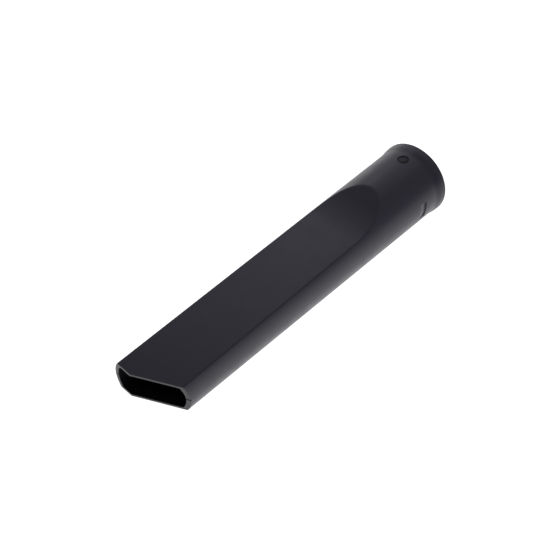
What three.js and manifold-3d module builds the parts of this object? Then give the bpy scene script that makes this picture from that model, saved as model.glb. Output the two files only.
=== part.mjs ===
// Crevice nozzle for a vacuum cleaner: one injection-moulded tube of black plastic.
// A round push-on collar runs into a long duct that is flattened above and below, and the
// duct ends in a mouth cut to a blunt point. Millimetres, +Z up. X is the tube's axis, from
// the mouth (-X) to the collar (+X), and the origin is the middle of the tube.
import * as THREE from "three";
import { mergeVertices } from "three/addons/utils/BufferGeometryUtils.js";
import Module from "manifold-3d";

// ---- driving dimensions ------------------------------------------------------------------
const LENGTH = 222; // tip of the mouth to the collar's end
const MOUTH_RADIUS = 19.3; // round sides of the duct, at the mouth
const NECK_RADIUS = 19.5; // the same surface where the collar starts to swell
const LIP_RADIUS = 20.2; // widest point, at the collar's end

// The collar's end swells softly into the lip: [distance from the end, radius].
const SWELL = [
  [8, 19.5],
  [6.8, 19.57],
  [5.8, 19.7],
  [4.7, 19.9],
  [3.7, 20.07],
  [2.6, 20.15],
];
const LIP_ROUND = 0.4; // broken edge of the lip

// The flats above and below: half height of the duct along its length.
const FLAT_HALF_MOUTH = 9.65;
const FLAT_HALF_RAMP = 11.25;
const RAMP_START = 149; // from the tip: here the flat turns up into a ramp
const RAMP_ANGLE = THREE.MathUtils.degToRad(22.8);
const RAMP_FILLET = 60; // radius of the hollow bend between flat and ramp

// The duct's inside.
const FLAT_WALL = 1.6;
const MOUTH_BORE_RADIUS = 16.9;
const NECK_BORE_RADIUS = 17.2;
const SOCKET_DEPTH = 38; // the wand pushes in as far as a small ledge
const SOCKET_BOTTOM_RADIUS = 17.55;
const SOCKET_MOUTH_RADIUS = 17.75;
const SOCKET_CHAMFER = 0.6;

// The mouth is cut by two planes that meet in a blunt tip, left of the middle. Each turns away
// from the tip and leans back below.
const TIP_Y = 7.6;
const LONG_CUT = THREE.MathUtils.degToRad(23.5);
const LONG_LEAN = THREE.MathUtils.degToRad(15.5);
const SHORT_CUT = THREE.MathUtils.degToRad(9.4);
const SHORT_LEAN = THREE.MathUtils.degToRad(13);

// A shallow notch on each side of the collar, for a holder's spring: its floor slopes in
// towards the collar's end and stops at a wall.
const NOTCH_WALL = 16.2; // from the collar's end
const NOTCH_LENGTH = 5.2;
const NOTCH_WIDTH = 9.2;
const NOTCH_RADIUS = 18.85; // of its floor at the wall

// A plain round recess on top of the collar, with a low round boss in it.
const RECESS_FROM_END = 12.8;
const RECESS_Y = 0.9;
const RECESS_RADIUS = 3.3;
const RECESS_FLOOR_RADIUS = 19.1; // its floor follows the collar
const BOSS_RADIUS = 1.9;
const BOSS_TOP_RADIUS = 19.35;

const SEGMENTS = 96; // round the axis
const FILLET_STEPS = 8;
const SPARE = 12; // how far the cutting shapes reach past the part

const PLASTIC = { color: 0x1b1a20, roughness: 0.52, metalness: 0 };

// ---- helpers -----------------------------------------------------------------------------
const wasm = await Module();
wasm.setup();

const TIP = -LENGTH / 2;
const END = LENGTH / 2;

function solid(geometry) {
  const bare = geometry.index ? geometry.toNonIndexed() : geometry.clone();
  bare.deleteAttribute("normal");
  bare.deleteAttribute("uv");
  const merged = mergeVertices(bare, 1e-4);
  return new wasm.Manifold(
    new wasm.Mesh({
      numProp: 3,
      vertProperties: merged.attributes.position.array,
      triVerts: new Uint32Array(merged.index.array),
    }),
  );
}

function geometryOf(manifold) {
  const mesh = manifold.getMesh();
  const geometry = new THREE.BufferGeometry()
    .setAttribute("position", new THREE.BufferAttribute(new Float32Array(mesh.vertProperties), 3))
    .setIndex(new THREE.BufferAttribute(new Uint32Array(mesh.triVerts), 1));
  geometry.computeVertexNormals();
  return geometry;
}

// A solid of revolution round X from [x, radius] pairs that run from -X to +X.
function turned(profile, segments = SEGMENTS) {
  const first = profile[0][0];
  const last = profile[profile.length - 1][0];
  const points = [[first, 0], ...profile, [last, 0]].map(([x, r]) => new THREE.Vector2(r, x));
  return solid(new THREE.LatheGeometry(points, segments).rotateZ(-Math.PI / 2));
}

// A solid with the side view [x, z] and the given width, centred on the XZ plane.
function slab(outline, width) {
  const shape = new THREE.Shape(outline.map(([x, z]) => new THREE.Vector2(x, z)));
  const geometry = new THREE.ExtrudeGeometry(shape, { depth: width, bevelEnabled: false });
  return solid(geometry.translate(0, 0, -width / 2).rotateX(Math.PI / 2));
}

// Side view of a flat and its ramp, as [x, z] from the mouth to well outside the tube. The
// inner skin is the same line, lowered by the wall.
function flatLine(wall) {
  const slope = (FLAT_HALF_RAMP - FLAT_HALF_MOUTH) / RAMP_START;
  const rampX = TIP + RAMP_START;
  const line = [
    [TIP - SPARE, FLAT_HALF_MOUTH - slope * SPARE - wall],
    [rampX, FLAT_HALF_RAMP - wall],
  ];
  const radius = RAMP_FILLET + wall;
  const startAngle = Math.atan(slope);
  for (let i = 1; i <= FILLET_STEPS; i++) {
    const angle = startAngle + ((RAMP_ANGLE - startAngle) * i) / FILLET_STEPS;
    line.push([
      rampX + radius * (Math.sin(angle) - Math.sin(startAngle)),
      FLAT_HALF_RAMP - wall + radius * (Math.cos(startAngle) - Math.cos(angle)),
    ]);
  }
  const [bendX, bendZ] = line[line.length - 1];
  const rise = LIP_RADIUS + SPARE - bendZ;
  line.push([bendX + rise / Math.tan(RAMP_ANGLE), LIP_RADIUS + SPARE]);
  return line;
}

// Everything above the flat, and the same below it.
function flatCutters(wall) {
  const line = flatLine(wall);
  const outline = [...line, [TIP - SPARE, LIP_RADIUS + SPARE]];
  const above = slab(outline, 2 * (LIP_RADIUS + SPARE));
  return above.add(above.mirror([0, 0, 1]));
}

// Half-space in front of a plane through the tip that turns by `turn` and leans by `lean`.
function mouthCutter(turn, lean) {
  const reach = 6 * LIP_RADIUS;
  const normal = new THREE.Vector3(1, Math.tan(turn), Math.tan(lean)).normalize();
  const geometry = new THREE.BoxGeometry(reach, reach, reach)
    .translate(-reach / 2, 0, 0)
    .applyQuaternion(new THREE.Quaternion().setFromUnitVectors(new THREE.Vector3(1, 0, 0), normal))
    .translate(TIP, TIP_Y, FLAT_HALF_MOUTH);
  return solid(geometry);
}

// ---- the part ----------------------------------------------------------------------------
function outside() {
  const skin = turned([
    [TIP - SPARE, MOUTH_RADIUS],
    [TIP, MOUTH_RADIUS],
    ...SWELL.map(([fromEnd, radius]) => [END - fromEnd, radius]),
    [END - LIP_ROUND, LIP_RADIUS],
    [END, LIP_RADIUS - LIP_ROUND],
  ]);
  return skin.subtract(flatCutters(0));
}

function inside() {
  const ledge = END - SOCKET_DEPTH;
  const duct = turned([
    [TIP - 2 * SPARE, MOUTH_BORE_RADIUS],
    [TIP, MOUTH_BORE_RADIUS],
    [ledge + SPARE, NECK_BORE_RADIUS],
  ]).subtract(flatCutters(FLAT_WALL));
  const socket = turned([
    [ledge, SOCKET_BOTTOM_RADIUS],
    [END - SOCKET_CHAMFER, SOCKET_MOUTH_RADIUS],
    [END, SOCKET_MOUTH_RADIUS + SOCKET_CHAMFER],
    [END + SPARE, SOCKET_MOUTH_RADIUS + SOCKET_CHAMFER],
  ]);
  return duct.add(socket);
}

function notches() {
  const wall = END - NOTCH_WALL;
  const start = wall - NOTCH_LENGTH;
  const ring = turned([
    [start, LIP_RADIUS],
    [wall, LIP_RADIUS],
  ]);
  const floor = turned([
    [start, NECK_RADIUS],
    [wall, NOTCH_RADIUS],
  ]);
  const band = new THREE.BoxGeometry(4 * NOTCH_LENGTH, 3 * LIP_RADIUS, NOTCH_WIDTH);
  return ring.subtract(floor).intersect(solid(band.translate(wall, 0, 0)));
}

function recess() {
  const x = END - RECESS_FROM_END;
  const disc = (radius) =>
    solid(
      new THREE.CylinderGeometry(radius, radius, LIP_RADIUS, 32)
        .rotateX(Math.PI / 2)
        .translate(x, RECESS_Y, LIP_RADIUS),
    );
  const round = (radius) =>
    turned([
      [x - 2 * RECESS_RADIUS, radius],
      [x + 2 * RECESS_RADIUS, radius],
    ]);
  const boss = disc(BOSS_RADIUS).intersect(round(BOSS_TOP_RADIUS));
  return disc(RECESS_RADIUS).subtract(round(RECESS_FLOOR_RADIUS)).subtract(boss);
}

const nozzle = outside()
  .subtract(inside())
  .subtract(notches())
  .subtract(recess())
  .subtract(mouthCutter(LONG_CUT, LONG_LEAN))
  .subtract(mouthCutter(-SHORT_CUT, SHORT_LEAN));

const mesh = new THREE.Mesh(geometryOf(nozzle), new THREE.MeshStandardMaterial(PLASTIC));
mesh.name = "nozzle_body";

const tool = new THREE.Group();
tool.name = "crevice_nozzle";
tool.add(mesh);

export default tool;
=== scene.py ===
"""Crevice nozzle: one moulded tube of satin black plastic, built fine round its CAD body."""

import math

import bpy
import numpy as np
from mathutils import Matrix, Vector


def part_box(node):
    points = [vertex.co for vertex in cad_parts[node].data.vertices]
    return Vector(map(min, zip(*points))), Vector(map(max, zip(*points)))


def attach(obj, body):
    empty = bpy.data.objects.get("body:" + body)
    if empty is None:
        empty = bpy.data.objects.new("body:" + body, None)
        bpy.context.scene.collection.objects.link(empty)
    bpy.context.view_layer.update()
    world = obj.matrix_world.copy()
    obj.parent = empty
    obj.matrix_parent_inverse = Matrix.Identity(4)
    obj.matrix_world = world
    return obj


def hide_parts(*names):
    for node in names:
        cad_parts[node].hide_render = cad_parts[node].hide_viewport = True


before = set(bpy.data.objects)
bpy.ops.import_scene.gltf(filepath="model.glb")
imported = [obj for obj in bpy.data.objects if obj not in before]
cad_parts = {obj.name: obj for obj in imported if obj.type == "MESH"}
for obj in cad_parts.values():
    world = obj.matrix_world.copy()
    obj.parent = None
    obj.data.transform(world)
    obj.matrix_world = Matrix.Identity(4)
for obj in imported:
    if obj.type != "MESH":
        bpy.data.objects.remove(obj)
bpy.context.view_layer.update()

NODE = "nozzle_body"
NODE_LOW, NODE_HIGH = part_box(NODE)
MM = 0.001

# ------------------------------------------------------------------ dimensions, millimetres
TIP = NODE_LOW.x / MM  # tip of the mouth
END = NODE_HIGH.x / MM  # the collar's end
LIP_RADIUS = NODE_HIGH.z / MM

MOUTH_RADIUS = 19.3
NECK_RADIUS = 19.5
SWELL_FROM_END = 8.0  # the collar swells softly into its lip
SWELL_LENGTH = 5.2
SWELL_RADIUS = 20.12
LIP_ROUND = 0.4

FLAT_HALF_MOUTH = 9.65
FLAT_HALF_RAMP = 11.25
RAMP_START = 149.0
RAMP_ANGLE = math.radians(22.8)
RAMP_FILLET = 60.0

FLAT_WALL = 1.6
MOUTH_BORE_RADIUS = 16.9
NECK_BORE_RADIUS = 17.2
SOCKET_DEPTH = 38.0
SOCKET_BOTTOM_RADIUS = 17.55
SOCKET_MOUTH_RADIUS = 17.75
SOCKET_CHAMFER = 0.6

TIP_Y = 7.6
LONG_CUT = math.radians(23.5)
LONG_LEAN = math.radians(15.5)
SHORT_CUT = math.radians(9.4)
SHORT_LEAN = math.radians(13)

NOTCH_WALL = 16.2  # from the collar's end
NOTCH_LENGTH = 5.2
NOTCH_HALF_WIDTH = 4.6
NOTCH_DEPTH = 0.65
NOTCH_WALL_SPREAD = 0.35  # how far along the tube its wall falls
NOTCH_SIDE_SPREAD = 0.45

RECESS_FROM_END = 12.8
RECESS_Y = 0.9
RECESS_RADIUS = 3.3
RECESS_DEPTH = 0.42
RECESS_SPREAD = 0.28
BOSS_RADIUS = 1.9
BOSS_DEPTH = 0.16
BOSS_SPREAD = 0.3

# Softness of edges, which the CAD body leaves sharp.
FLAT_EDGE = 0.62  # along the flats
ARCH_EDGE = 0.34
RAMP_SOFTENING = 25.0  # how far into the ramp the one edge turns into the other
INNER_EDGE = 1.5
RIM_ROUND = 0.28  # round the mouth's rim
PART_LINE_HEIGHT = 0.05  # a ridge along the sides
PART_LINE_WIDTH = 0.2
PART_LINE_FADE = 3.0  # it runs out where the collar swells
RIM_LINE_DEPTH = 0.3  # a groove where it crosses the rim
RIM_LINE_WIDTH = 0.3
SHALLOWEST = math.radians(78)  # the flats' columns of points never close up more than this
CLOSEST_RINGS = 0.025  # a ring nearer than this to the one before is left out

# Wear and painted shade run from 0 to 1, and their widths are millimetres.
FLAT_WEAR = 0.06
FLAT_WEAR_WIDTH = 0.9
LIP_WEAR = 0.8
LIP_WEAR_FROM_END = 1.2
WEAR_SPREAD = 0.7
# Painted shade in the recess, lifted again on its boss.
RECESS_PAINTED_SHADE = 0.55
BOSS_SHADE_LIFT = 0.2

# ------------------------------------------------------------------ colours, as linear RGB
PLASTIC_LOW = (0.0083, 0.0062, 0.0200, 1)
PLASTIC_HIGH = (0.0115, 0.0087, 0.0262, 1)
WORN_EDGE = (0.045, 0.042, 0.055, 1)
# The cut rim is paler: its own matte cut finish, and painted light as if its face caught the
# light.
CUT_RIM_FINISH_AND_LIGHT = (0.034, 0.034, 0.037, 1)
# Painted shade: the hollows, the recess and the rim's groove are darkened towards these.
HOLLOW_PAINTED_SHADE = (0.003, 0.003, 0.0035, 1)
SHADE_DULL_LOW = (0.009, 0.009, 0.011, 1)
SHADE_DULL_HIGH = (0.015, 0.015, 0.018, 1)
FLOOR = (0.25, 0.25, 0.25, 1)

# ------------------------------------------------------------------ finish
SATIN = (0.34, 0.42)  # roughness
REFRACTION = 1.42
# How far the hollows' painted shade takes over from the satin finish.
HOLLOW_SHADE_SHARE = 0.96
RELIEF_STRENGTH = 0.55
RELIEF_DEPTH = 0.00002  # metres

# How fine each noise is, in repeats per metre, and per axis where it runs along the tube.
MOTTLE_SCALE = 38.0
SATIN_SCALE = 120.0
CHIP_SCALE = 420.0
PIT_SCALE = 900.0
GRAIN_SCALE = 2600.0
FLOW_SCALE = (7.0, 90.0, 90.0)
WAVE_SCALE = (22.0, 60.0, 60.0)
DRAW_SCALE = (9.0, 900.0, 900.0)
SCUFFS = [  # turn in radians, scale of the lines, scale of the patches they are seen in
    ((0.2, 0.3, 0.12), (16.0, 420.0, 420.0), 35.0),
    ((0.1, 0.2, -0.5), (30.0, 520.0, 520.0), 44.0),
]
SCUFF_WIDTH = 0.012  # as a share of the noise's range

# ------------------------------------------------------------------ light and camera
# Brightness in units of a white card's, angles in degrees and distances in metres.
ROOM_LIGHT = 0.08
ROOM_GLOWS = [  # azimuth, elevation, brightness, how fast it falls off
    (72, -10, 2.8, 9.0),  # the backdrop
    (312, 30, 0.46, 4.0),
    (135, 30, 0.16, 4.0),
    (0, 90, 0.38, 4.0),
]
SOFTBOXES = [  # azimuth, elevation, distance, size, brightness
    (47, 40, 0.25, 0.17, 0.57),
    (15, 25, 0.40, 0.28, 0.66),
]
SOFTBOX_COLOUR = (1.0, 0.985, 1.06)
FLOOR_HALF_SIZE = 6.0
FLOOR_GAP = 0.0001  # between the nozzle and the floor
FLOOR_SLOPES = np.linspace(-0.12, 0.0, 241)  # the ones tried, along X
POOL_REACH = (0.03, 0.13)  # the floor's glow falls between these distances from the middle
POOL_GLOW = (1.19, 0.97)
POOL_SHAPE = (0.5, 1.0, 0.0)  # twice as long as it is wide

LENS = 160.0  # in millimetres, like the sensor's width
SENSOR = 36.0
CAMERA_PLACE = (-0.76507, -0.50630, 0.84694)
CAMERA_RIGHT = (0.61825, -0.78095, 0.08874)
CAMERA_UP = (0.49356, 0.47362, 0.72945)
CAMERA_BACK = (-0.61169, -0.40719, 0.67826)


# ------------------------------------------------------------------ the surface
def smoothstep(t):
    t = np.clip(t, 0.0, 1.0)
    return t * t * (3.0 - 2.0 * t)


def soft_min(a, b, width):
    """The smaller of the two, blended where they are within width of each other."""
    d = np.clip(0.5 + 0.5 * (b - a) / width, 0.0, 1.0)
    return b + (a - b) * d - width * d * (1.0 - d)


def outer_radius(x):
    swell = END - SWELL_FROM_END
    neck = MOUTH_RADIUS + (NECK_RADIUS - MOUTH_RADIUS) * np.clip((x - TIP) / (swell - TIP), 0, 1)
    lip = np.clip((x - swell - SWELL_LENGTH) / (SWELL_FROM_END - SWELL_LENGTH - LIP_ROUND), 0, 1)
    rise = (SWELL_RADIUS - NECK_RADIUS) * smoothstep((x - swell) / SWELL_LENGTH)
    return neck + rise + (LIP_RADIUS - SWELL_RADIUS) * lip


def inner_radius(x):
    t = np.clip((x - TIP) / (END - SOCKET_DEPTH - TIP), 0, 1)
    return MOUTH_BORE_RADIUS + (NECK_BORE_RADIUS - MOUTH_BORE_RADIUS) * t


def half_height(x, wall):
    """Half height between the flats: a straight taper, a hollow bend, then the ramp."""
    s = x - TIP
    slope = (FLAT_HALF_RAMP - FLAT_HALF_MOUTH) / RAMP_START
    start = math.atan(slope)
    radius = RAMP_FILLET + wall
    base = FLAT_HALF_RAMP - wall
    bend_length = radius * (math.sin(RAMP_ANGLE) - math.sin(start))
    bend_rise = radius * (math.cos(start) - math.cos(RAMP_ANGLE))
    sine = np.clip((s - RAMP_START) / radius + math.sin(start), 0, 0.99)
    bend = base + radius * (math.cos(start) - np.sqrt(1 - sine**2))
    ramp = base + bend_rise + (s - RAMP_START - bend_length) * math.tan(RAMP_ANGLE)
    flat = FLAT_HALF_MOUTH - wall + slope * s
    return np.where(s < RAMP_START, flat, np.where(s < RAMP_START + bend_length, bend, ramp))


def cut_plane(y, z):
    """Where the mouth's two cutting planes stand, along X."""
    y, z = y - TIP_Y, z - FLAT_HALF_MOUTH
    long = -y * math.tan(LONG_CUT) - z * math.tan(LONG_LEAN)
    short = y * math.tan(SHORT_CUT) - z * math.tan(SHORT_LEAN)
    return TIP + np.maximum(long, short)


# Columns of points run the whole length. On a round side they are placed by s, from -1 to 1
# between its two edges, and on a flat by t, from -1 to 1 across it. They crowd at the edges, at
# the parting line (s = 0) and at the notch's ends.
def mirrored(values):
    return sorted(set(list(values) + [-v for v in values]))


EDGE_T = [1 - v for v in (0.006, 0.012, 0.018, 0.025, 0.034, 0.045, 0.06)]
FLAT_T = mirrored(list(np.round(np.arange(0.0, 0.921, 0.04), 4)) + EDGE_T)
EDGE_S = [1 - v for v in (0.008, 0.016, 0.024, 0.034, 0.046, 0.062, 0.085)]
SIDE_S = mirrored(
    [0.0, 0.005, 0.01, 0.016, 0.024, 0.036, 0.054, 0.08, 0.105, 0.13, 0.15]
    + [0.162, 0.168, 0.1735, 0.179, 0.185, 0.2]
    + list(np.round(np.arange(0.23, 0.89, 0.033), 4))
    + EDGE_S
)


def flat_half_width(radius, height):
    return math.sqrt(radius**2 - height**2)


def kinked(wall, radius):
    """FLAT_T with its nearest column moved onto the mouth's tip."""
    half = flat_half_width(radius, FLAT_HALF_MOUTH - wall)
    t = np.array(FLAT_T)
    tip = TIP_Y / half
    outer_tip = TIP_Y / flat_half_width(MOUTH_RADIUS, FLAT_HALF_MOUTH)
    nearest = t[np.abs(t - outer_tip).argmin()]
    return np.interp(t, [-1, nearest, 1], [-1, tip, 1])


def columns(t_flat):
    """(kind, value) of each column, once round: +Y side, upper flat, -Y side, lower flat."""
    s = np.array(SIDE_S)
    kinds = []
    kinds += [(0, v) for v in [-1.0, *s, 1.0]]
    kinds += [(1, v) for v in t_flat[::-1]]
    kinds += [(2, v) for v in [-1.0, *s, 1.0]]
    kinds += [(3, v) for v in t_flat]
    return np.array([k for k, _ in kinds]), np.array([v for _, v in kinds])


OUT_KIND, OUT_VALUE = columns(kinked(0.0, MOUTH_RADIUS))
IN_KIND, IN_VALUE = columns(kinked(FLAT_WALL, MOUTH_BORE_RADIUS))
COUNT = len(OUT_KIND)


def ring_yz(x, radius, height, kind, value, softness):
    """Y and Z of one ring's points. Every argument but the layout may differ per column."""
    sine = np.minimum(height / radius, math.sin(SHALLOWEST))
    edge = np.arcsin(sine)
    half = radius * np.cos(edge)
    top = radius * sine
    theta = np.select(
        [kind == 0, kind == 1, kind == 2],
        [value * edge, np.arctan2(top, value * half), math.pi + value * edge],
        np.arctan2(-top, value * half),
    )
    reach = height / np.maximum(np.abs(np.sin(theta)), 1e-3)
    rho = soft_min(radius + 0 * theta, reach, softness)
    return rho * np.cos(theta), rho * np.sin(theta), reach - radius


def outer_ring(x):
    """The outside's points at x, with how worn each one is and how much painted shade it has."""
    along = (x - TIP - RAMP_START) / RAMP_SOFTENING
    softness = FLAT_EDGE + (ARCH_EDGE - FLAT_EDGE) * np.clip(along, 0, 1)
    radius, height = outer_radius(x), half_height(x, 0.0)
    y, z, gap = ring_yz(x, radius, height, OUT_KIND, OUT_VALUE, softness)
    rho, theta = np.hypot(y, z), np.arctan2(z, y)

    # The notch on each side: its floor slopes in and stops at a wall.
    wall = END - NOTCH_WALL
    slope = np.clip((x - wall + NOTCH_LENGTH) / NOTCH_LENGTH, 0, 1)
    down = slope * smoothstep((wall + 0.1 - x) / NOTCH_WALL_SPREAD)
    width = smoothstep((NOTCH_HALF_WIDTH + 0.2 - np.abs(z)) / NOTCH_SIDE_SPREAD)
    notch = NOTCH_DEPTH * down * width

    # The mould's parting line, half way up each side.
    fade = 1 - smoothstep((x - END + SWELL_FROM_END) / PART_LINE_FADE)
    line = PART_LINE_HEIGHT * np.exp(-((z / PART_LINE_WIDTH) ** 2)) * fade

    # The round recess on top of the collar, and the boss in it.
    away = np.hypot(x - (END - RECESS_FROM_END), y - RECESS_Y)
    on_top = z > 0
    dip = smoothstep((RECESS_RADIUS + 0.08 - away) / RECESS_SPREAD) * on_top
    boss = smoothstep((BOSS_RADIUS + 0.1 - away) / BOSS_SPREAD) * on_top
    rho = rho - notch + line - RECESS_DEPTH * dip + (RECESS_DEPTH - BOSS_DEPTH) * boss
    y, z = rho * np.cos(theta), rho * np.sin(theta)

    # Wear: a little along the edges of the flats, more on the lip.
    edge = FLAT_WEAR * np.exp(-((gap / FLAT_WEAR_WIDTH) ** 2)) * (height < radius + 0.5)
    lip = LIP_WEAR * smoothstep((x - END + LIP_WEAR_FROM_END) / WEAR_SPREAD)
    # Painted shade darkens the recess, less so on the boss.
    hollow_shade = RECESS_PAINTED_SHADE * dip - BOSS_SHADE_LIFT * boss
    return np.stack([x + 0 * y, y, z], 1), np.maximum(edge, lip), hollow_shade


def inner_ring(x):
    height = half_height(x, FLAT_WALL)
    y, z, _ = ring_yz(x, inner_radius(x), height, IN_KIND, IN_VALUE, INNER_EDGE)
    return np.stack([x + 0 * y, y, z], 1)


def cut_ring(ring):
    """The ring that lies on the mouth's cut, and its X per column."""
    x = np.full(COUNT, TIP)
    for _ in range(5):
        points = ring(x)
        x = cut_plane(points[:, 1], points[:, 2])
    return ring(x), x


def round_ring(x, radius):
    """A true circle, clear of the flats, on the outside's columns."""
    clear = 99.0
    y, z, _ = ring_yz(x, radius, clear, OUT_KIND, OUT_VALUE, ARCH_EDGE)
    return np.stack([np.full(COUNT, x), y, z], 1)


def round_over(a, corner, b, steps):
    """Rings between a and b on a round edge whose corner is given."""
    return [
        (1 - u) ** 2 * a + 2 * u * (1 - u) * corner + u**2 * b
        for u in (np.arange(1, steps + 1) / (steps + 1))
    ]


# Near the mouth, rings follow its cut at these distances, and from JOIN on they stand square.
JOIN = TIP + 44.0
NEAR = np.array([RIM_ROUND, 0.42, 0.62, 0.9, 1.3, 1.9, 2.8, 4.2, 6.4, 9.5, 13.5, 18.5, 24.0])


def near_x(cut, d):
    """Where the ring at distance d from the cut stands, along X."""
    return cut + d + (JOIN - NEAR[-1] - cut) * (d / NEAR[-1]) ** 2


def outer_stations():
    """X of the outside's square rings: closest where the shape changes fastest."""
    ramp = TIP + RAMP_START
    wall = END - NOTCH_WALL
    recess = END - RECESS_FROM_END
    wall_steps = [-0.4, -0.32, -0.25, -0.18, -0.12, -0.06, 0.0, 0.05, 0.1, 0.16]
    stations = np.concatenate(
        [
            np.arange(JOIN, ramp - 6, 3.0),
            np.arange(ramp - 6, ramp + 14, 1.2),
            np.arange(ramp + 14, ramp + 34, 0.44),
            np.arange(ramp + 34, wall - NOTCH_LENGTH - 0.4, 1.2),
            wall - NOTCH_LENGTH + np.array([-0.3, -0.1, 0.0, 0.1, 0.3]),
            np.arange(wall - NOTCH_LENGTH + 0.9, wall - 0.5, 0.5),
            wall + np.array(wall_steps),
            np.arange(recess - RECESS_RADIUS - 0.3, recess + RECESS_RADIUS + 0.4, 0.18),
            np.arange(recess + RECESS_RADIUS + 0.6, END - LIP_ROUND - 0.05, 0.3),
        ]
    )
    stations = np.unique(np.round(stations, 3))
    keep = [stations[0]]
    for s in stations[1:]:
        if s - keep[-1] > CLOSEST_RINGS:
            keep.append(s)
    return keep


def build_rings():
    """Every ring of the closed shell in order, with its points' edge, rim and inside shares; the
    inside share also sets painted shade.
    """
    rings, edge, rim, inside = [], [], [], []

    # i, the inside share, also sets how much painted shade a point gets.
    def add(points, e=0.0, r=0.0, i=0.0):
        rings.append(points)
        for store, v in ((edge, e), (rim, r), (inside, i)):
            store.append(np.broadcast_to(v, COUNT))

    out_cut, out_x = cut_ring(lambda x: outer_ring(x)[0])
    in_cut, in_x = cut_ring(inner_ring)

    # Outside, from the mouth to the collar.
    for d in NEAR[:-1]:
        points, e, _ = outer_ring(near_x(out_x, d))
        add(points, np.maximum(e, 1 - smoothstep((d - RIM_ROUND) / WEAR_SPREAD)))
    for s in outer_stations():
        points, e, hollow_shade = outer_ring(np.full(COUNT, s))
        add(points, e, 0, hollow_shade)

    # The collar's lip, its end and the lead-in of its socket, where painted shade begins.
    for a in np.radians([0, 18, 36, 54, 72, 90]):
        x = END - LIP_ROUND + LIP_ROUND * math.sin(a)
        add(round_ring(x, LIP_RADIUS - LIP_ROUND + LIP_ROUND * math.cos(a)), LIP_WEAR)
    lead = SOCKET_MOUTH_RADIUS + SOCKET_CHAMFER
    for r, e in ((19.4, 0.3), (19.0, 0.0), (lead + 0.25, 0.2), (lead + 0.08, 0.6)):
        add(round_ring(END, r), e)
    add(round_ring(END - 0.03, lead - 0.02), 0.7)
    add(round_ring(END - 0.1, lead - 0.1), 0.4)
    add(round_ring(END - SOCKET_CHAMFER + 0.08, SOCKET_MOUTH_RADIUS + 0.08), 0.3, 0, 0.5)
    add(round_ring(END - SOCKET_CHAMFER - 0.02, SOCKET_MOUTH_RADIUS + 0.01), 0.3, 0, 0.7)

    # The socket and its ledge, darkened with painted shade.
    ledge = END - SOCKET_DEPTH
    taper = (SOCKET_MOUTH_RADIUS - SOCKET_BOTTOM_RADIUS) / (SOCKET_DEPTH - SOCKET_CHAMFER)
    for x in [*np.arange(END - 1.2, ledge + 1, -2.4), ledge + 0.8, ledge + 0.3, ledge + 0.1]:
        add(round_ring(x, SOCKET_BOTTOM_RADIUS + taper * (x - ledge)), 0, 0, 1)
    add(round_ring(ledge + 0.02, SOCKET_BOTTOM_RADIUS - 0.03), 0, 0, 1)
    add(round_ring(ledge, SOCKET_BOTTOM_RADIUS - 0.1), 0, 0, 1)
    add(round_ring(ledge, NECK_BORE_RADIUS + 0.1), 0, 0, 1)
    add(round_ring(ledge - 0.02, NECK_BORE_RADIUS + 0.03), 0, 0, 1)

    # Inside, from the ledge back to the mouth, darkened with painted shade.
    inner = np.concatenate(
        [
            ledge - np.array([0.1, 0.5, 1.5]),
            np.arange(ledge - 2.5, TIP + RAMP_START - 4, -1.25),
            np.arange(TIP + RAMP_START - 6, JOIN + 2, -5.0),
            [JOIN],
        ]
    )
    for s in inner:
        add(inner_ring(np.full(COUNT, s)), 0, 0, 1)
    for d in NEAR[::-1][1:]:
        add(inner_ring(near_x(in_x, d)), 0, 0, 1 if d > 0.5 else 0.5)

    # The rim: a round edge, the cut face, a round edge. The parting line crosses it, and its
    # groove and inner edge get painted shade.
    def across(share):
        return out_cut + (in_cut - out_cut) * share[:, None]

    wide = np.linalg.norm(in_cut - out_cut, axis=1)
    near_out, near_in = RIM_ROUND / wide, 1 - 0.8 * RIM_ROUND / wide
    crossing = np.exp(-((out_cut[:, 2] / RIM_LINE_WIDTH) ** 2))
    groove = RIM_LINE_DEPTH * crossing

    def grooved(points):
        return points + np.stack([groove, 0 * groove, 0 * groove], 1)

    inner_first = inner_ring(near_x(in_x, NEAR[0]))
    outer_first = outer_ring(near_x(out_x, NEAR[0]))[0]
    for p in round_over(inner_first, in_cut, across(near_in), 3):
        add(grooved(p), 0.5, 1, np.maximum(0.3, crossing))
    for u in (0.0, 0.34, 0.67, 1.0):
        share = (1 - u) * near_in + u * near_out
        add(grooved(across(share)), 0, 1, crossing)
    for p in round_over(across(near_out), out_cut, outer_first, 4):
        add(grooved(p), 1 - crossing, 0.6, crossing)
    return rings, edge, rim, inside


def build_shell():
    rings, edge, rim, inside = build_rings()
    rows = len(rings)
    verts = np.concatenate(rings) * MM
    index = np.arange(rows * COUNT).reshape(rows, COUNT)
    nxt = np.roll(index, -1, axis=0)
    faces = np.stack([index, np.roll(index, -1, 1), np.roll(nxt, -1, 1), nxt], -1).reshape(-1, 4)
    mesh = bpy.data.meshes.new("nozzle_shell")
    mesh.from_pydata(verts.tolist(), [], faces.tolist())
    for name, values in (("edge", edge), ("rim", rim), ("inside", inside)):
        layer = mesh.attributes.new(name, "FLOAT", "POINT")
        layer.data.foreach_set("value", np.concatenate(values).astype(np.float32))
    mesh.polygons.foreach_set("use_smooth", [True] * len(mesh.polygons))
    mesh.update()
    shell = bpy.data.objects.new("nozzle_shell", mesh)
    bpy.context.scene.collection.objects.link(shell)
    return shell


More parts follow.
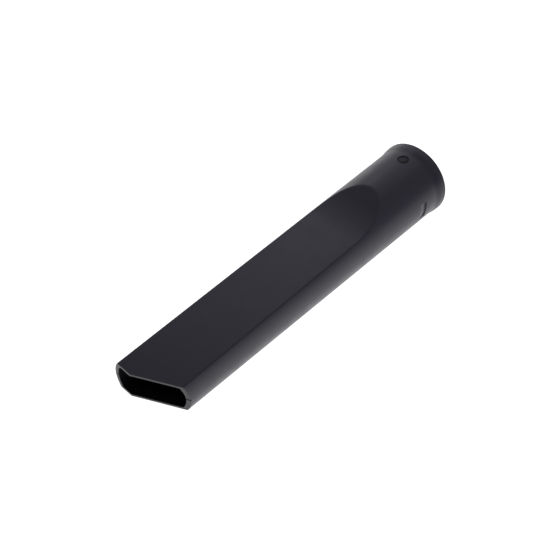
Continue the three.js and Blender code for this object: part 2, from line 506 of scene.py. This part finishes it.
# ------------------------------------------------------------------ material
class Nodes:
    """Short hand for building a node tree."""

    def __init__(self, tree):
        self.tree = tree

    def add(self, kind, **settings):
        node = self.tree.nodes.new(kind)
        for key, value in settings.items():
            setattr(node, key, value)
        return node

    def link(self, a, b):
        self.tree.links.new(a, b)

    def put(self, socket, value):
        if isinstance(value, bpy.types.NodeSocket):
            self.link(value, socket)
        else:
            socket.default_value = value

    def math(self, operation, a, b=0.0, c=0.0, clamp=False):
        node = self.add("ShaderNodeMath", operation=operation, use_clamp=clamp)
        for socket, value in zip(node.inputs, (a, b, c)):
            self.put(socket, value)
        return node.outputs[0]

    def noise(self, vector, scale, detail=2.0, rough=0.5):
        node = self.add("ShaderNodeTexNoise")
        self.link(vector, node.inputs["Vector"])
        node.inputs["Scale"].default_value = scale
        node.inputs["Detail"].default_value = detail
        node.inputs["Roughness"].default_value = rough
        return node.outputs["Fac"]

    def stretch(self, vector, scale, turn=(0, 0, 0)):
        node = self.add("ShaderNodeMapping")
        self.link(vector, node.inputs["Vector"])
        node.inputs["Scale"].default_value = scale
        node.inputs["Rotation"].default_value = turn
        return node.outputs[0]

    def spread(self, value, low, high, to_low=0.0, to_high=1.0):
        node = self.add("ShaderNodeMapRange", clamp=True)
        names = ("Value", "From Min", "From Max", "To Min", "To Max")
        for name, v in zip(names, (value, low, high, to_low, to_high)):
            self.put(node.inputs[name], v)
        return node.outputs["Result"]

    def blend(self, factor, a, b):
        node = self.add("ShaderNodeMix", data_type="RGBA")
        self.put(node.inputs[0], factor)
        self.put(node.inputs[6], a)
        self.put(node.inputs[7], b)
        return node.outputs[2]


def black_plastic():
    material = bpy.data.materials.new("satin_black_plastic")
    material.use_nodes = True
    n = Nodes(material.node_tree)
    shader = material.node_tree.nodes["Principled BSDF"]
    place = n.add("ShaderNodeTexCoord").outputs["Object"]
    edge = n.add("ShaderNodeAttribute", attribute_name="edge").outputs["Fac"]
    rim = n.add("ShaderNodeAttribute", attribute_name="rim").outputs["Fac"]
    inside = n.add("ShaderNodeAttribute", attribute_name="inside").outputs["Fac"]

    # Colour: broad mottling, faint flow lines along the tube, paler worn edges, a cut rim paler
    # for its matte finish and for painted light, and painted shade in the hollows.
    broad = n.noise(place, MOTTLE_SCALE, 3.0, 0.55)
    flow = n.noise(n.stretch(place, FLOW_SCALE), 1.0, 3.0, 0.6)
    tone = n.math("ADD", n.math("MULTIPLY", broad, 0.6), n.math("MULTIPLY", flow, 0.4))
    colour = n.blend(n.spread(tone, 0.3, 0.7), PLASTIC_LOW, PLASTIC_HIGH)
    chips = n.spread(n.noise(place, CHIP_SCALE, 4.0, 0.7), 0.42, 0.68)
    patchy = n.math("ADD", n.math("MULTIPLY", chips, 0.55), 0.12)
    worn = n.math("MULTIPLY", edge, patchy, clamp=True)
    colour = n.blend(worn, colour, WORN_EDGE)
    # The cut rim is paler for its matte finish and for painted light.
    colour = n.blend(n.math("MULTIPLY", rim, 0.75), colour, CUT_RIM_FINISH_AND_LIGHT)
    # Painted shade: the hollows, the recess and the rim's groove darken towards near black.
    colour = n.blend(n.math("MULTIPLY", inside, 0.8), colour, HOLLOW_PAINTED_SHADE)
    n.link(colour, shader.inputs["Base Color"])

    # Hairline scuffs, most of them along the tube.
    def scuffs(turn, scale, patches):
        lines = n.noise(n.stretch(place, scale, turn), 1.0, 1.0, 0.4)
        away = n.math("ABSOLUTE", n.math("SUBTRACT", lines, 0.5))
        thin = n.spread(away, 0.0, SCUFF_WIDTH, 1.0, 0.0)
        return n.math("MULTIPLY", thin, n.spread(n.noise(place, patches, 2.0), 0.56, 0.68))

    scuff = n.math("MAXIMUM", *[scuffs(*kind) for kind in SCUFFS])

    # Roughness: spark-eroded satin, duller on the cut rim, glossier where it is rubbed.
    satin = n.spread(n.noise(place, SATIN_SCALE, 4.0, 0.6), 0.25, 0.75, *SATIN)
    rough = n.math("ADD", satin, n.math("MULTIPLY", n.math("SUBTRACT", broad, 0.5), 0.08))
    rough = n.math("SUBTRACT", rough, n.math("MULTIPLY", scuff, 0.07))
    rough = n.math("ADD", rough, n.math("MULTIPLY", rim, 0.06))
    rough = n.math("ADD", rough, n.math("MULTIPLY", inside, 0.1), clamp=True)
    n.link(rough, shader.inputs["Roughness"])

    # Relief: fine grain, slight sink and flow waves, draw lines inside the bore.
    grain = n.noise(place, GRAIN_SCALE, 2.0, 0.6)
    pits = n.noise(place, PIT_SCALE, 3.0, 0.6)
    waves = n.noise(n.stretch(place, WAVE_SCALE), 1.0, 2.0)
    draw = n.math("MULTIPLY", n.noise(n.stretch(place, DRAW_SCALE), 1.0, 3.0), inside)
    height = n.math("ADD", n.math("MULTIPLY", grain, 0.5), n.math("MULTIPLY", pits, 0.9))
    height = n.math("ADD", height, n.math("MULTIPLY", waves, 2.2))
    height = n.math("ADD", height, n.math("MULTIPLY", draw, 1.6))
    height = n.math("SUBTRACT", height, n.math("MULTIPLY", scuff, 0.5))
    bump = n.add("ShaderNodeBump")
    bump.inputs["Strength"].default_value = RELIEF_STRENGTH
    bump.inputs["Distance"].default_value = RELIEF_DEPTH
    n.link(height, bump.inputs["Height"])
    n.link(bump.outputs["Normal"], shader.inputs["Normal"])

    shader.inputs["IOR"].default_value = REFRACTION
    shader.inputs["Metallic"].default_value = 0.0

    # Painted shade: the hollows turn to a dull, nearly black diffuse.
    hollow_shade = n.add("ShaderNodeBsdfDiffuse")
    n.put(hollow_shade.inputs["Color"], n.blend(chips, SHADE_DULL_LOW, SHADE_DULL_HIGH))
    n.link(bump.outputs["Normal"], hollow_shade.inputs["Normal"])
    mix = n.add("ShaderNodeMixShader")
    n.put(mix.inputs[0], n.math("MULTIPLY", inside, HOLLOW_SHADE_SHARE))
    n.link(shader.outputs[0], mix.inputs[1])
    n.link(hollow_shade.outputs[0], mix.inputs[2])
    n.link(mix.outputs[0], material.node_tree.nodes["Material Output"].inputs["Surface"])
    return material


# ------------------------------------------------------------------ stage, light and camera
def resting_plane(mesh):
    """Height and slope along X of the floor that the nozzle's middle rests over.

    Of all floors that touch the nozzle from below, it is the highest one at the middle.
    """
    points = np.empty(3 * len(mesh.vertices))
    mesh.vertices.foreach_get("co", points)
    x, z = points[0::3], points[2::3]
    heights = [(z - slope * x).min() for slope in FLOOR_SLOPES]
    best = int(np.argmax(heights))
    return heights[best], FLOOR_SLOPES[best]


def build_stage(shell):
    """A pale floor that the nozzle lies on, with its mouth and one ramp's end touching."""
    height, slope = resting_plane(shell.data)
    size = FLOOR_HALF_SIZE
    mesh = bpy.data.meshes.new("floor")
    corners = [(-size, -size, 0), (size, -size, 0), (size, size, 0), (-size, size, 0)]
    mesh.from_pydata(corners, [], [(0, 1, 2, 3)])
    floor = bpy.data.objects.new("floor", mesh)
    bpy.context.scene.collection.objects.link(floor)
    floor.rotation_euler = (0, -math.atan(slope), 0)
    floor.location = (0, 0, height - FLOOR_GAP)
    material = bpy.data.materials.new("pale_floor")
    material.use_nodes = True
    n = Nodes(material.node_tree)
    shader = material.node_tree.nodes["Principled BSDF"]
    shader.inputs["Base Color"].default_value = FLOOR
    shader.inputs["Roughness"].default_value = 0.9
    shader.inputs["Specular IOR Level"].default_value = 0.1
    shader.inputs["Emission Color"].default_value = (1, 1, 1, 1)
    # A pool of light round the nozzle.
    place = n.add("ShaderNodeTexCoord").outputs["Object"]
    away = n.add("ShaderNodeVectorMath", operation="LENGTH")
    n.link(n.stretch(place, POOL_SHAPE), away.inputs[0])
    pool = n.spread(away.outputs["Value"], *POOL_REACH, *POOL_GLOW)
    n.link(pool, shader.inputs["Emission Strength"])
    mesh.materials.append(material)


def direction(azimuth, elevation):
    a, e = math.radians(azimuth), math.radians(elevation)
    return (math.cos(a) * math.cos(e), math.sin(a) * math.cos(e), math.sin(e))


def build_world():
    """A dim room with a bright backdrop low down on one side, and three weaker glows."""
    world = bpy.data.worlds.new("room")
    world.use_nodes = True
    bpy.context.scene.world = world
    n = Nodes(world.node_tree)
    back = world.node_tree.nodes["Background"]
    facing = n.add("ShaderNodeTexCoord").outputs["Generated"]
    total = ROOM_LIGHT
    for azimuth, elevation, brightness, falloff in ROOM_GLOWS:
        toward = n.add("ShaderNodeVectorMath", operation="DOT_PRODUCT")
        n.link(facing, toward.inputs[0])
        toward.inputs[1].default_value = direction(azimuth, elevation)
        near = n.math("MAXIMUM", toward.outputs["Value"], 0.0)
        glow = n.math("POWER", near, falloff)
        total = n.math("MULTIPLY_ADD", glow, brightness, total)
    n.link(total, back.inputs["Strength"])
    back.inputs["Color"].default_value = (1.0, 1.0, 1.0, 1)


def add_softbox(name, azimuth, elevation, distance, size, brightness):
    """A square soft light that faces the nozzle and keeps out of the picture."""
    data = bpy.data.lights.new(name, "AREA")
    data.shape = "SQUARE"
    data.size = size
    data.energy = math.pi * size**2 * brightness
    data.color = SOFTBOX_COLOUR
    light = bpy.data.objects.new(name, data)
    bpy.context.scene.collection.objects.link(light)
    light.location = distance * Vector(direction(azimuth, elevation))
    light.rotation_euler = light.location.to_track_quat("Z", "Y").to_euler()
    light.visible_camera = False


def build_camera():
    """The viewpoint: in front of the mouth, to its right and above."""
    data = bpy.data.cameras.new("camera")
    data.lens = LENS
    data.sensor_width = SENSOR
    camera = bpy.data.objects.new("camera", data)
    bpy.context.scene.collection.objects.link(camera)
    rotation = Matrix((CAMERA_RIGHT, CAMERA_UP, CAMERA_BACK)).transposed()
    camera.matrix_world = Matrix.Translation(CAMERA_PLACE) @ rotation.to_4x4()
    bpy.context.scene.camera = camera


# ------------------------------------------------------------------ put together
shell = build_shell()
shell.data.materials.append(black_plastic())
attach(shell, "root")
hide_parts(NODE)

build_stage(shell)
build_world()
for number, softbox in enumerate(SOFTBOXES):
    add_softbox(f"softbox_{number}", *softbox)
build_camera()
bpy.context.scene.view_settings.view_transform = "Standard"
